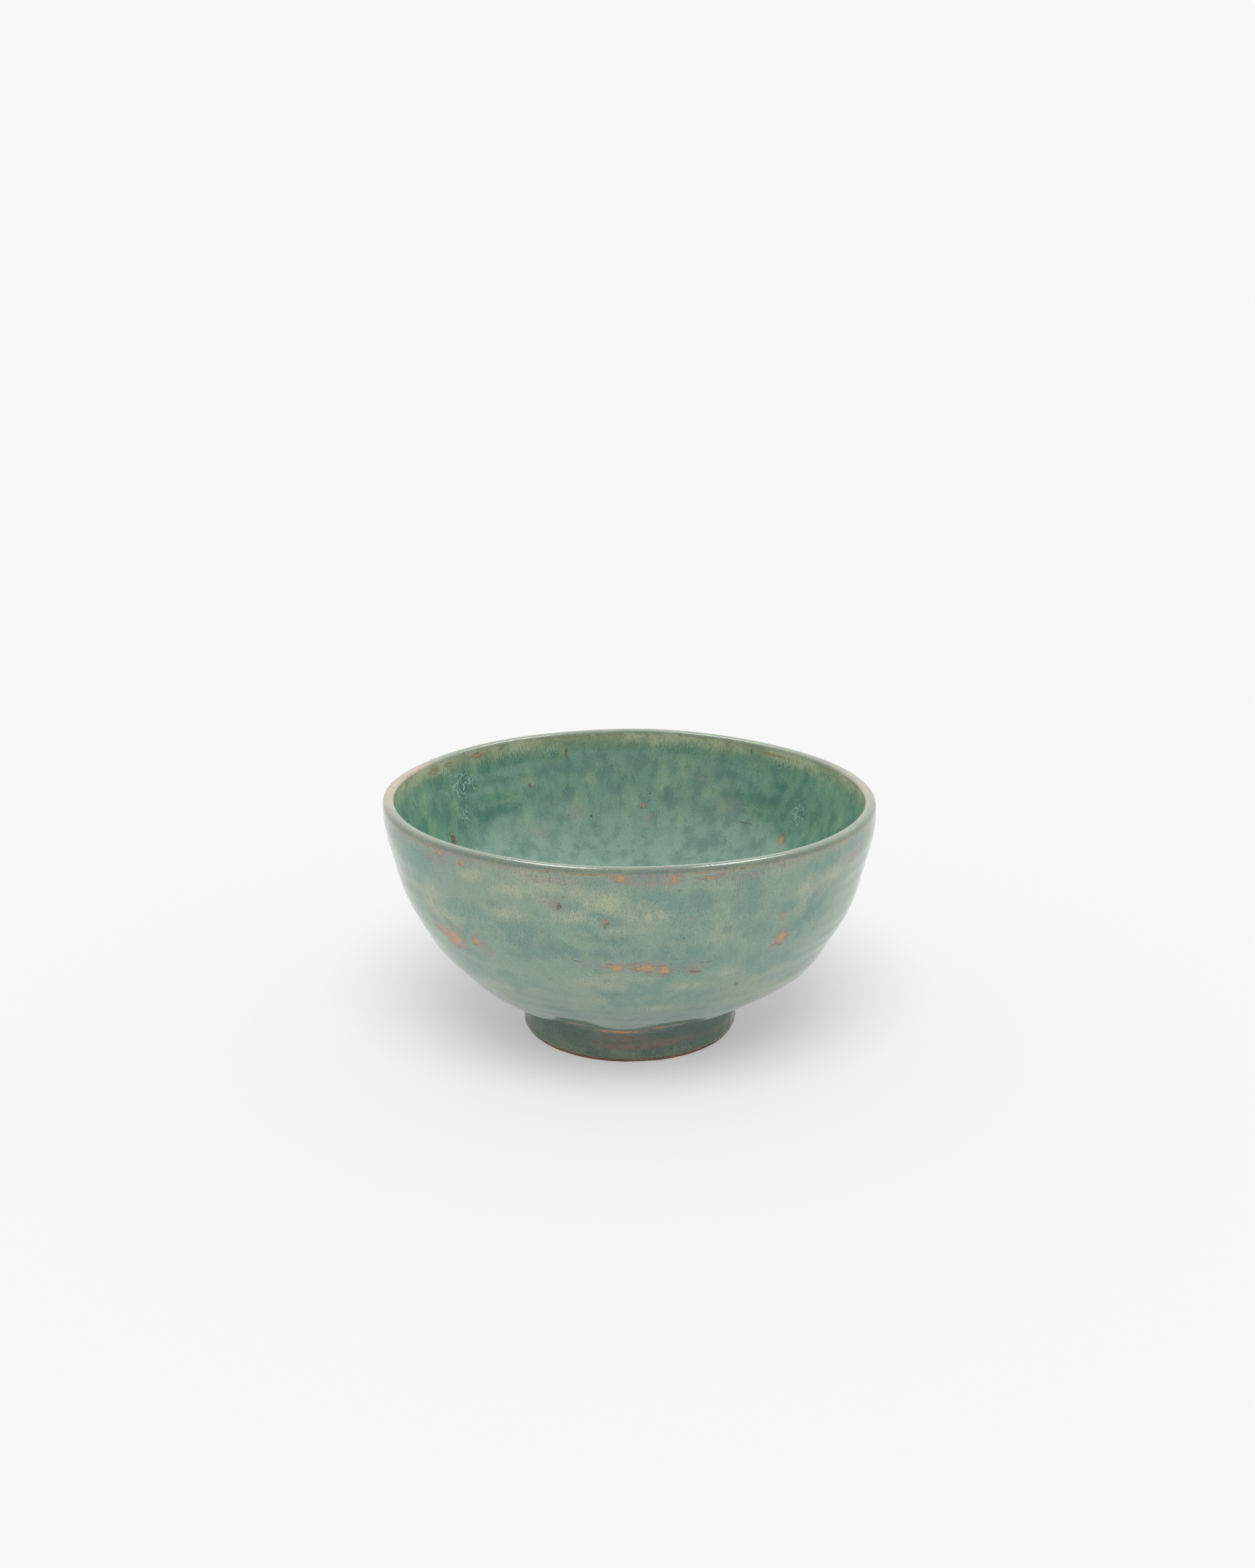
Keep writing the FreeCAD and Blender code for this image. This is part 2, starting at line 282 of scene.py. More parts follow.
def lathe(name, rows, fields=None, sharp_rows=()):
    """A closed mesh from rows of points. A row on the axis becomes one point, and the last row
    joins the first, unless both are on the axis."""
    poles = [np.ptp(row[:, :2]) < TINY for row in rows]
    sizes = [1 if pole else COLUMNS for pole in poles]
    starts = np.concatenate(((0,), np.cumsum(sizes)))
    here, following = np.arange(COLUMNS), np.roll(np.arange(COLUMNS), -1)
    faces = []
    for first, second in zip(range(len(rows)), [*range(1, len(rows)), 0]):
        upper, lower = starts[first], starts[second]
        if poles[first] and poles[second]:
            continue
        if poles[first]:
            corners = (np.full(COLUMNS, upper), lower + here, lower + following)
        elif poles[second]:
            corners = (upper + following, upper + here, np.full(COLUMNS, lower))
        else:
            corners = (upper + following, upper + here, lower + here, lower + following)
        faces += np.column_stack(corners).tolist()
    mesh = bpy.data.meshes.new(name)
    mesh.from_pydata((join_rows(rows, sizes) * MM).tolist(), [], faces)
    for label, grid in (fields or {}).items():
        values = join_rows(grid, sizes).astype(np.float32)
        is_vector = values.ndim == 2
        attribute = mesh.attributes.new(label, "FLOAT_VECTOR" if is_vector else "FLOAT", "POINT")
        attribute.data.foreach_set("vector" if is_vector else "value", values.ravel())
    mesh.shade_smooth()
    row_of_point = np.repeat(np.arange(len(rows)), sizes)
    for edge in mesh.edges:
        first, second = (row_of_point[point] for point in edge.vertices)
        edge.use_edge_sharp = bool(first == second and first in sharp_rows)
    piece = bpy.data.objects.new(name, mesh)
    bpy.context.scene.collection.objects.link(piece)
    return piece


def join_rows(grid, sizes):
    return np.concatenate([row[:size] for row, size in zip(grid, sizes)])


# ---------------------------------------------------------------- marks in the glaze

# Each mark: azimuth, height, half width and half height in mm.
OUTER_CRAWLS = (
    (-46, 42.5, 2.9, 2.5), (-50, 44, 2.4, 1.1), (-38, 44.5, 1.1, 1.2),
    (-3, 42, 2.0, 1.0), (4, 42, 2.7, 1.2), (8, 41, 1.3, 1.4),
    (37, 46, 1.7, 1.6), (36, 53, 0.5, 1.0), (-5, 56.5, 0.5, 0.6),
    (-2, 68.5, 1.7, 0.8), (9, 68, 0.7, 1.1), (17, 68, 2.4, 0.5),
    (-38, 67.5, 0.8, 0.9), (-45, 68.5, 1.6, 0.5),
    (128, 47.5, 2.4, 1.7), (134, 45, 1.0, 1.0), (171, 60, 0.7, 1.1),
    (196, 38.5, 2.6, 1.5), (203, 37.5, 1.3, 1.1), (243, 52.5, 1.6, 1.3),
    (88, 58, 0.7, 0.9), (-78, 60.5, 0.9, 0.7), (152, 68, 1.6, 0.7), (221, 68, 1.2, 0.9),
)
OUTER_RUST = (
    (-15, 60, 0.8, 1.2), (-14, 63, 0.5, 0.4), (-6, 63.5, 0.5, 0.4), (10, 64.5, 0.5, 0.9),
    (-5, 55.5, 0.9, 1.5), (55, 47, 0.3, 1.4), (9, 42.5, 0.6, 0.8), (18, 42.5, 1.8, 0.4),
    (15, 40, 1.8, 0.5), (17, 39.5, 1.6, 0.4), (-12, 43.5, 1.4, 0.4), (28, 33, 0.8, 0.6),
    (39, 47.5, 0.9, 0.3),
    (108, 57, 0.6, 1.1), (147, 52, 0.5, 0.9), (187, 49, 1.4, 0.4), (214, 59, 0.6, 1.2),
    (231, 43, 0.9, 0.5), (262, 61, 0.5, 0.8),
)
OUTER_BLUSH = (
    (-1, 42.5, 17, 2.0), (15, 41, 3.8, 2.6), (-35, 42.5, 2.6, 3.0), (35, 44, 2.2, 1.8),
    (-16, 67, 10, 1.9), (4, 67, 9, 1.5), (24, 67, 9, 1.3), (-46, 66.5, 10, 1.5),
    (60, 64, 9, 3.0), (-63, 50, 5, 8), (-16, 60.5, 4.0, 2.6), (13, 56.5, 2.2, 1.4), (95, 46, 6, 5),
    (132, 46, 5, 2.2), (199, 38, 7, 2.2), (240, 50, 3, 3), (170, 66.5, 12, 1.4), (270, 66, 10, 1.4),
)
OUTER_BLUE = (
    (-7, 46.5, 17, 1.3), (22, 52, 2.6, 1.6), (27, 49.5, 3.4, 1.3), (1, 64.5, 1.0, 2.3),
    (-24, 47.5, 8, 2.0), (-31, 58, 4, 1.4), (-5, 51, 9, 1.6), (15, 63, 4, 2.6),
    (45, 54, 5, 5), (-52, 46.5, 4, 2.0), (0, 21.5, 8, 2.0), (18, 25, 5, 2.0),
    (118, 60, 8, 3.0), (160, 42, 12, 1.6), (182, 55, 3, 5), (212, 48, 10, 1.8), (251, 44, 6, 4),
)
OUTER_CREAM = (
    (-23, 62.5, 8, 2.8), (-28, 55, 7, 2.8), (-6, 61, 9, 3.4), (5, 58.5, 5, 2.6),
    (-51, 55, 5, 5), (-13, 57, 6, 1.8), (20, 60, 3, 4), (-2, 53.5, 6, 1.4), (-36, 65, 4, 2.0),
    (13, 35, 8, 1.3), (25, 37, 5, 2.4), (7, 27.5, 7, 0.9), (42, 59, 4, 5),
    (112, 52, 9, 3.0), (141, 58.5, 8, 3.2), (176, 50, 8, 2.4), (224, 56, 9, 3.2), (258, 53, 7, 4.0),
)
INNER_CRAWLS = (
    (-116, 68.5, 1.8, 0.7), (-122, 68.5, 1.2, 0.5), (-134, 68.5, 2.3, 0.6), (-142, 69, 0.7, 0.4),
    (128, 43.5, 1.0, 1.3), (150, 69, 3.4, 0.25), (137, 68.5, 5.5, 0.3), (176, 47.5, 0.9, 0.4),
    (-30, 58, 1.1, 0.9), (40, 49, 1.4, 1.0), (66, 68.5, 3.0, 0.4), (-58, 68.5, 2.2, 0.4),
)
INNER_RUST = (
    (-139, 56.5, 0.5, 1.0), (-150, 56, 0.7, 1.0), (-144, 66, 0.3, 1.0), (-162, 64.5, 0.5, 2.0),
    (-178, 55.5, 0.3, 0.7), (-168, 44.5, 0.6, 0.5), (165, 45, 0.5, 0.4), (-118, 46.5, 1.3, 2.2),
    (176, 47, 1.5, 0.7), (128, 45, 0.6, 0.8), (143, 45.5, 4.0, 0.3), (-155, 62.5, 0.3, 0.9),
    (144, 68, 0.5, 1.0), (20, 52, 0.5, 0.8), (-70, 40, 0.6, 0.8), (85, 56, 0.5, 1.0),
)
INNER_BLUSH = (
    (174, 43, 3.0, 4.0), (-163, 46, 6, 4), (-150, 42, 5, 4), (127, 40, 2.0, 4.5),
    (150, 50, 7, 4), (158, 57, 5, 1.6), (-119, 45.5, 2.4, 3.0), (-40, 50, 8, 5), (30, 44, 7, 5),
)
INNER_BLUE = (
    (-162, 59, 1.6, 7), (-158, 60.5, 7, 2.2), (-175, 52.5, 4, 3), (-155, 51, 7, 2.2),
    (168, 50, 3, 3.4), (160, 47.5, 2.2, 4), (151, 59, 5, 1.8), (138, 54, 6, 3), (132, 60, 5, 3),
    (-138, 50, 9, 3), (-128, 60, 5, 4), (-172, 63, 3, 1.4), (145, 36, 6, 2.2),
    (-100, 52, 8, 4), (100, 52, 8, 4), (-20, 55, 8, 4), (30, 58, 7, 4), (60, 50, 7, 5),
)
INNER_CREAM = (
    (-148, 53, 4, 3), (-170, 55.5, 4, 2.6), (171, 56, 3.4, 3.4), (165, 62, 5, 2.4),
    (156, 53, 4, 2.2), (-146, 46, 5, 2.4), (178, 48.5, 2.6, 2.6), (168, 42, 3, 3),
    (-108, 61, 4, 5), (-165, 50, 2.4, 2.4), (142, 48.5, 2.4, 2.6), (112, 64, 6, 3),
    (-30, 62, 8, 4), (10, 60, 6, 4), (50, 62, 8, 4), (80, 60, 6, 4), (-70, 60, 8, 4),
)
# The foot: a thin rust line, a pinkish band below it, and the tan edges of the smeared clay.
FOOT_CRAWLS = (
    (-5, 9.5, 6.0, 0.35), (165, 9, 7.0, 0.3),
    (-30, 11, 3.5, 0.35), (14, 11, 5.0, 0.35), (30, 11, 2.5, 0.3),
    (110, 11.5, 5.0, 0.3), (190, 11.5, 6.0, 0.3), (250, 11.5, 4.0, 0.3),
)
FOOT_BLUSH = (
    (0, 5, 17, 1.3), (-2, 7.5, 9, 1.0), (22, 6, 8, 1.0),
    (60, 5, 12, 1.0), (150, 5, 22, 1.2), (235, 5.5, 16, 1.0),
)

# Smears of clay that lie in the corner over the foot ring, in the same columns as a pinch.
SMEARS = (
    (-34, 10.7, 13, 0.8, 1.3),
    (19, 11.1, 15, 0.8, 1.2),
    (-7, 12.2, 9, 0.7, 0.5),
    (68, 11.5, 12, 0.9, 0.5),
    (125, 11.3, 16, 0.8, 0.6),
    (178, 11.7, 12, 0.9, 0.7),
    (222, 11.3, 14, 0.8, 0.5),
    (268, 11.6, 14, 0.9, 0.6),
)


def distance(azimuth, radius, down, height, mark):
    """How far each point is from a mark's middle, counted in the mark's own half sizes."""
    middle, level, half_width, half_height = mark
    around = np.radians(turn_from(azimuth, middle)) * radius
    rows = np.argsort(height.mean(axis=1))
    level_down = np.interp(level, height.mean(axis=1)[rows], down[rows, 0])
    return np.hypot(around / half_width, (down - level_down) / half_height)


def nearest_mark(azimuth, radius, down, height, marks):
    """1 in the middle of a mark and 0 at its edge, falling to -3 away from all of them."""
    field = np.full(azimuth.shape, -3.0)
    for mark in marks:
        field = np.maximum(field, 1 - distance(azimuth, radius, down, height, mark))
    return field


def soft_marks(azimuth, radius, down, height, marks):
    """1 in the middle of a mark, fading smoothly to 0 around it."""
    field = np.zeros(azimuth.shape)
    for mark in marks:
        field = 1 - (1 - field) * (1 - np.exp(-distance(azimuth, radius, down, height, mark) ** 2))
    return field


# ---------------------------------------------------------------- nodes

def colour(red, green, blue):
    """A colour given as 0 to 255, as the scene's linear colour."""
    shares = (channel / 255 for channel in (red, green, blue))
    return (*(x / 12.92 if x <= 0.04045 else ((x + 0.055) / 1.055) ** 2.4 for x in shares), 1.0)


class Nodes:
    """A material written as calls: each makes one node and returns its output."""

    def __init__(self, name):
        self.material = bpy.data.materials.new(name)
        self.material.use_nodes = True
        self.tree = self.material.node_tree
        self.tree.nodes.clear()

    def make(self, kind, output, inputs, **settings):
        node = self.tree.nodes.new(f"ShaderNode{kind}")
        for key, value in settings.items():
            setattr(node, key, value)
        for key, value in inputs.items():
            if isinstance(value, bpy.types.NodeSocket):
                self.tree.links.new(value, node.inputs[key])
            else:
                node.inputs[key].default_value = value
        return node.outputs[output]

    def math(self, operation, first, second=0.0, clamp=False):
        inputs = {0: first, 1: second}
        return self.make("Math", 0, inputs, operation=operation, use_clamp=clamp)

    def field(self, name, output="Fac"):
        return self.make("Attribute", output, {}, attribute_name=name)

    def stretched(self, vector, size, stretch):
        scale = (1 / size, 1 / size, 1 / (size * stretch))
        return self.make("VectorMath", 0, {0: vector, 1: scale}, operation="MULTIPLY")

    def shifted(self, vector, amount):
        return self.make("VectorMath", 0, {0: vector, 1: (amount,) * 3}, operation="ADD")

    def centred(self, value, reach):
        """A noise of 0 to 1 as one of -reach / 2 to reach / 2."""
        return self.math("MULTIPLY", self.math("SUBTRACT", value, 0.5), reach)

    def noise(self, vector, size, stretch=1.0, detail=2.0, roughness=0.5, output="Fac"):
        """Cloudy noise about 0.5, with features size mm wide and stretch times as tall."""
        inputs = {
            "Vector": self.stretched(vector, size, stretch),
            "Scale": 1.0,
            "Detail": detail,
            "Roughness": roughness,
        }
        return self.make("TexNoise", output, inputs)

    def step(self, value, low, high, result_low=0.0, result_high=1.0):
        """A smooth step from result_low to result_high as value goes from low to high."""
        inputs = {0: value, 1: low, 2: high, 3: result_low, 4: result_high}
        return self.make("MapRange", 0, inputs, interpolation_type="SMOOTHSTEP")

    def mix(self, factor, first, second, blend="MIX"):
        inputs = {0: factor, 6: first, 7: second}
        return self.make("Mix", 2, inputs, data_type="RGBA", blend_type=blend)

    def bump(self, height, distance, strength=1.0, normal=None):
        inputs = {"Height": height, "Distance": distance, "Strength": strength}
        if normal is not None:
            inputs["Normal"] = normal
        return self.make("Bump", 0, inputs)

    def finish(self, **inputs):
        shader = self.make("BsdfPrincipled", 0, {key.replace("_", " "): v for key, v in inputs.items()})
        output = self.tree.nodes.new("ShaderNodeOutputMaterial")
        self.tree.links.new(shader, output.inputs["Surface"])
        return self.material


# ---------------------------------------------------------------- the glaze

SAGE, TEAL, CREAM = colour(133, 156, 138), colour(113, 145, 133), colour(163, 172, 146)
DEEP_SAGE, DEEP_TEAL, DEEP_CREAM = colour(108, 146, 126), colour(85, 126, 114), colour(130, 160, 130)
BLUE, DEEP_BLUE, BLUSH = colour(106, 132, 127), colour(74, 114, 111), colour(150, 138, 130)
# The third colour on the next line is painted light, for the inside low down.
OLIVE, PALE_OLIVE, PAINTED_POOL_LIGHT = colour(156, 162, 134), colour(194, 192, 162), colour(136, 164, 150)
LIP, PALE_LIP, FOOT_BAND = colour(102, 118, 106), colour(156, 140, 126), colour(168, 138, 116)
TAN, ORANGE, RUST = colour(156, 138, 112), colour(182, 142, 98), colour(132, 96, 72)
DARK_RUST, SPECK, THREAD = colour(72, 52, 42), colour(44, 50, 44), colour(196, 214, 206)
# The next four multiply the colour that they lie on. The first two are painted shade, on the lower outside
# and on the foot.
PAINTED_LOW_SHADE, PAINTED_FOOT_SHADE, SHADE = colour(230, 231, 230), colour(204, 202, 198), colour(212, 220, 218)
SHINE = (1.2, 1.17, 1.14, 1.0)


def clouds(n, frayed, outside):
    """Broad clouds, flat on the outside, whose edges run into fur, and a finer mottling; inside, painted
    light makes it paler low down.
    """
    sage, teal, cream = (SAGE, TEAL, CREAM) if outside else (DEEP_SAGE, DEEP_TEAL, DEEP_CREAM)
    width, flat = (24, 0.42) if outside else (6, 1.2)
    light = n.noise(frayed, width, flat, 3.0)
    dark = n.noise(n.shifted(frayed, 31), 0.7 * width, flat, 3.0)
    mottle = n.noise(n.shifted(frayed, 57), 3.2, 0.9, 4.0, 0.62)
    uneven = n.centred(mottle, 0.6)
    broken = n.step(mottle, 0.35, 0.65, 0.0, 0.4)
    cream_share = n.math("ADD", n.math("ADD", light, uneven), n.math("MULTIPLY", n.field("cream"), broken))
    base = n.mix(n.step(cream_share, 0.44, 0.8), sage, cream)
    teal_share = n.math("SUBTRACT", n.math("ADD", dark, uneven), n.math("MULTIPLY", n.field("cream"), 0.1))
    base = n.mix(n.step(teal_share, 0.42, 0.63, 0.0, 0.95 if outside else 0.8), base, teal)
    blue_share = n.math("ADD", n.field("blue"), n.centred(mottle, 2.4))
    base = n.mix(n.step(blue_share, 0.2, 1.2, 0.0, 0.65), base, BLUE if outside else DEEP_BLUE)
    if outside:
        return base
    # Painted light: a paler colour low down inside, where light pools in the bowl.
    pool_share = n.math("MULTIPLY", n.field("pool"), n.step(teal_share, 0.74, 0.34, 0.2, 0.8))
    return n.mix(pool_share, base, PAINTED_POOL_LIGHT)


def lip(n, base, wall, frayed, ragged, outside):
    """The lip, where the glaze ran thin, and the band and the rusty line below it."""
    frayed_down = n.math("ABSOLUTE", n.make("SeparateXYZ", 2, {0: frayed}))
    down = n.math("ABSOLUTE", n.make("SeparateXYZ", 2, {0: wall}))
    patches = n.noise(wall, 10, 1.0, 3.0, 0.6)
    band = n.step(frayed_down, 5.0 if outside else 8.5, 2.5)
    band_tint = n.mix(n.step(patches, 0.42, 0.6), BLUSH if outside else PALE_OLIVE, OLIVE)
    base = n.mix(n.math("MULTIPLY", band, 0.6 if outside else 0.85), base, band_tint)
    crest_tint = n.mix(n.step(patches, 0.5, 0.8, 0.0, 0.5), LIP, OLIVE)
    crest_tint = n.mix(n.step(n.field("pale_lip"), 0.2, 0.8), crest_tint, PALE_LIP)
    thin = n.step(n.math("ADD", down, n.centred(ragged, 1.6)), 2.8, 1.8)
    base = n.mix(n.math("MULTIPLY", thin, 0.8), base, crest_tint)
    base = n.mix(n.math("MULTIPLY", thin, n.step(ragged, 0.57, 0.68, 0.0, 0.6)), base, RUST)
    wandering = n.math("ADD", down, n.centred(patches, 1.2))
    line = n.math("MULTIPLY", n.step(wandering, 2.3, 2.6), n.step(wandering, 3.1, 2.8))
    line_share = n.math("MULTIPLY", line, n.step(patches, 0.5, 0.62, 0.05, 0.75 if outside else 0.3))
    return n.mix(line_share, base, n.mix(n.step(ragged, 0.4, 0.6), ORANGE, RUST))


def foot(n, base, blush, strands):
    """Painted shade on the lower outside and on the foot, and the foot with its pinkish band and its
    streaks.
    """
    # Painted shade: the outside darkens towards the bottom.
    base = n.mix(n.field("low"), base, PAINTED_LOW_SHADE, "MULTIPLY")
    on_foot = n.field("foot")
    base = n.mix(n.math("MULTIPLY", on_foot, n.step(blush, 0.3, 1.0, 0.0, 0.5)), base, FOOT_BAND)
    # Painted shade on the foot.
    base = n.mix(on_foot, base, PAINTED_FOOT_SHADE, "MULTIPLY")
    return n.mix(n.math("MULTIPLY", on_foot, n.step(strands, 0.45, 0.8)), base, SHADE, "MULTIPLY")


def felted(n, base, wall, fur, felt):
    """Felted streaks and specks."""
    base = n.mix(n.step(fur, 0.5, 0.72, 0.0, 0.4), base, SHADE, "MULTIPLY")
    base = n.mix(n.step(felt, 0.5, 0.72), base, SHADE, "MULTIPLY")
    base = n.mix(n.step(felt, 0.48, 0.3, 0.0, 0.7), base, SHINE, "MULTIPLY")
    cell = {"Vector": n.stretched(wall, 3.4, 1.0), "Scale": 1.0}
    middle = n.make("TexVoronoi", "Distance", cell)
    tone = n.make("SeparateXYZ", 0, {0: n.make("TexVoronoi", "Color", cell)})
    speck = n.math("SUBTRACT", n.step(tone, 0.6, 1.0, 0.0, 0.075), middle)
    return n.mix(n.step(speck, 0.0, 0.02, 0.0, 0.85), base, SPECK)


def crawled(n, base, fur, felt, ragged, strands):
    """Rust that came through, and crawled patches, bare of glaze at heart. Also returns the patches."""
    rust = n.math("ADD", n.field("rust"), n.centred(ragged, 3.0))
    rust_tint = n.mix(n.step(felt, 0.4, 0.6), RUST, DARK_RUST)
    base = n.mix(n.step(rust, -0.3, 0.6, 0.0, 0.8), base, rust_tint)
    halo = n.math("ADD", n.field("crawl"), n.centred(strands, 4.6))
    base = n.mix(n.step(halo, -1.6, 0.4, 0.0, 0.7), base, BLUSH)
    rusty_strands = n.step(strands, 0.54, 0.6, 0.0, 0.5)
    base = n.mix(n.math("MULTIPLY", n.step(halo, -1.2, 0.4), rusty_strands), base, RUST)
    crawl = n.math("ADD", n.field("crawl"), n.centred(ragged, 3.0))
    rusty_fur = n.step(fur, 0.4, 0.6, 0.0, 0.6)
    base = n.mix(n.math("MULTIPLY", n.step(crawl, -0.25, -0.05), rusty_fur), base, RUST)
    patch = n.step(crawl, 0.0, 0.15)
    return n.mix(patch, base, n.mix(n.step(ragged, 0.45, 0.65), ORANGE, TAN)), patch


def threads(n, base, wall):
    """Fine pale lines in a few places on the inside wall."""
    veins = n.math("ABSOLUTE", n.centred(n.noise(wall, 3.2, 1.2, 4.0, 0.65), 1.0))
    return n.mix(n.math("MULTIPLY", n.step(veins, 0.016, 0.004), n.field("thread")), base, THREAD)


def glaze_material(name, outside):
    """A glossy glaze that ran while it was molten."""
    n = Nodes(name)
    wall = n.field("wall_map", "Vector")
    fur = n.noise(wall, 0.3, 5.0, 2.0)
    felt = n.noise(wall, 0.22, 2.0, 2.0, 0.6)
    ragged = n.noise(wall, 1.3, 0.7, 4.0, 0.65)
    strands = n.noise(wall, 3.2, 0.16, 3.0, 0.6)
    fray = n.make("CombineXYZ", 0, {2: n.centred(fur, 9.0)})
    frayed = n.make("VectorMath", 0, {0: wall, 1: fray}, operation="ADD")

    base = clouds(n, frayed, outside)
    blush = n.math("ADD", n.field("blush"), n.centred(strands, 2.0))
    base = n.mix(n.step(blush, 0.3, 1.2, 0.0, 0.75 if outside else 0.4), base, BLUSH)
    base = lip(n, base, wall, frayed, ragged, outside)
    if outside:
        base = foot(n, base, blush, strands)
    base = felted(n, base, wall, fur, felt)
    base, patch = crawled(n, base, fur, felt, ragged, strands)
    if not outside:
        base = threads(n, base, wall)

    gloss = n.step(n.noise(wall, 2.5, 1.0, 2.0), 0.3, 0.7, 0.06, 0.13)
    roughness = n.math("ADD", gloss, n.math("MULTIPLY", patch, 0.15))
    peel = n.bump(n.noise(wall, 1.7, 1.2, 2.0), 0.00005)
    normal = n.bump(felt, 0.00001, normal=peel)
    return n.finish(Base_Color=base, Roughness=roughness, IOR=1.52, Normal=normal)


CLAY, TOASTED_CLAY = colour(116, 84, 62), colour(84, 58, 44)
PALE_GRIT, DARK_GRIT = colour(168, 132, 100), colour(52, 38, 32)


def clay_material(name):
    """Bare iron-brown stoneware: fine grit, a toasted edge and darker specks."""
    n = Nodes(name)
    metres = n.make("TexCoord", "Object", {})
    place = n.make("VectorMath", 0, {0: metres, 1: (1 / MM,) * 3}, operation="MULTIPLY")
    grit = n.noise(place, 0.35, 1.0, 3.0, 0.7)
    toast = n.noise(place, 6.0, 1.0, 3.0)
    base = n.mix(n.step(toast, 0.35, 0.65), CLAY, TOASTED_CLAY)
    base = n.mix(n.step(grit, 0.4, 0.65, 0.0, 0.3), base, PALE_GRIT)
    base = n.mix(n.step(n.noise(place, 0.9, 1.0, 1.0), 0.66, 0.72, 0.0, 0.8), base, DARK_GRIT)
    roughness = n.step(grit, 0.2, 0.8, 0.75, 0.95)
    return n.finish(Base_Color=base, Roughness=roughness, Normal=n.bump(grit, 0.00008))


# ---------------------------------------------------------------- pieces

OUTER_MARKS = {
    "crawl": (*OUTER_CRAWLS, *FOOT_CRAWLS),
    "rust": OUTER_RUST,
    "blush": (*OUTER_BLUSH, *FOOT_BLUSH),
    "blue": OUTER_BLUE,
    "cream": OUTER_CREAM,
}
INNER_MARKS = {
    "crawl": INNER_CRAWLS,
    "rust": INNER_RUST,
    "blush": INNER_BLUSH,
    "blue": INNER_BLUE,
    "cream": INNER_CREAM,
    "thread": ((-127, 60.5, 7.0, 4.5), (-126, 52, 3.0, 2.5), (124, 52, 2.6, 4.0)),
}
SHARP_MARKS = ("crawl", "rust")
PALE_LIP_SPANS = ((-95, 26, 1.0), (95, 30, 0.55))  # azimuth, reach round and share


def glaze_fields(section, marks, outside):
    """The glaze's marks on each point of a face, painted light and shade low down, and where its pattern
    is read.
    """
    azimuth, radius, height, down = spun(section)
    fields = {}
    for name, places in marks.items():
        spread = nearest_mark if name in SHARP_MARKS else soft_marks
        fields[name] = spread(azimuth, radius, down, height, places)
    spans = (share * hump(turn_from(azimuth, middle), 0, reach) for middle, reach, share in PALE_LIP_SPANS)
    fields["pale_lip"] = sum(spans)
    fields["wall_map"] = placed(azimuth, radius, -down if outside else down)
    # Painted light for the inside, lighter towards the floor.
    fields["pool"] = smooth(height, 54, 36)
    # Painted shade for the outside, darker towards the bottom.
    fields["low"] = smooth(height, 44, 18)
    # The foot: painted shade there, and the place of its pinkish band and streaks.
    fields["foot"] = smooth(height, 11.4, 9.6) * smooth(radius, 40, 34)
    return fields


def outer_skin(azimuth, radius, height, down):
    """The outer coat's own relief: shallow crawls, smears over the foot and a rolled lower edge."""
    crawl = nearest_mark(azimuth, radius, down, height, OUTER_CRAWLS)
    pits = -0.1 * smooth(crawl, -0.3, 0.5)
    smears = bumps(azimuth, height, SMEARS)
    on_foot = 0.1 * grain(azimuth, down, 6, 0.6, 90) * smooth(height, 16, 12)
    roll = 0.18 * hump(height, 2.3, 0.9) - 0.3 * smooth(height, 1.8, 1.2)
    return pits + smears + on_foot + roll * (1 + 0.4 * wave(azimuth, 9, 40))


def inner_skin(azimuth, radius, height, down):
    crawl = nearest_mark(azimuth, radius, down, height, INNER_CRAWLS)
    return -0.1 * smooth(crawl, -0.3, 0.5)


def placed_in_set(piece, node, material):
    """Hands a piece to the frame in place of its CAD node."""
    piece.data.materials.append(material)
    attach(piece, "root")
    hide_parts(node)
    return piece


def make_outside_glaze():
    section, back = outer_face(GLAZE), outer_face(SKIN, HIDDEN_LIP_ANGLES, *HIDDEN_STEPS)
    rows = np.concatenate((formed(section, True, outer_skin), formed(back, True)[::-1]))
    fields = {}
    for name, grid in glaze_fields(section, OUTER_MARKS, True).items():
        fields[name] = np.concatenate((grid, np.repeat(grid[-1:], len(back), axis=0)))
    borders = (0, len(section) - 1, len(section), len(rows) - 1)
    return lathe("glaze_outside", rows, fields, borders)


def make_inside_glaze():
    section, back = inner_face(GLAZE), inner_face(SKIN, HIDDEN_LIP_ANGLES, *HIDDEN_STEPS)
    rows = np.concatenate((formed(back, False), formed(section, False, inner_skin)[::-1]))
    fields = {}
    for name, grid in glaze_fields(section, INNER_MARKS, False).items():
        fields[name] = np.concatenate((np.repeat(grid[:1], len(back), axis=0), grid[::-1]))
    return lathe("glaze_inside", rows, fields, (0, len(rows) - 1))


def turned(name, section, sharp_rows=()):
    """A true round from a section, with the glaze's fields at rest and its pattern read in space."""
    azimuth, radius, height, _ = spun(np.array(section, float))
    grid = placed(azimuth, radius, height)
    clear = np.full(azimuth.shape, -3.0)
    fields = {"wall_map": grid - (0, 0, FAR_DOWN), "crawl": clear, "rust": clear}
    return lathe(name, grid, fields, sharp_rows)


def make_foot_well_glaze():
    roof, side = BASE - GLAZE, FOOT_INNER - GLAZE
    hidden_roof, hidden_side = BASE - SKIN, FOOT_INNER - SKIN
    corner = hollow_round((side - WELL_CORNER, roof - WELL_CORNER), WELL_CORNER, 90, 0, ROUND_STEPS)
    hidden_corner = (hidden_side, hidden_roof)
    section = np.vstack((
        (0, roof), straight((0, roof), corner[0], 1.5), corner[1:],
        straight(corner[-1], (side, BARE + 0.4), 1.0), (side + 0.12, BARE),
        (hidden_side, BARE), straight((hidden_side, BARE), hidden_corner, 3),
        straight(hidden_corner, (0, hidden_roof), 5),
    ))
    return turned("glaze_foot_well", section[::-1])


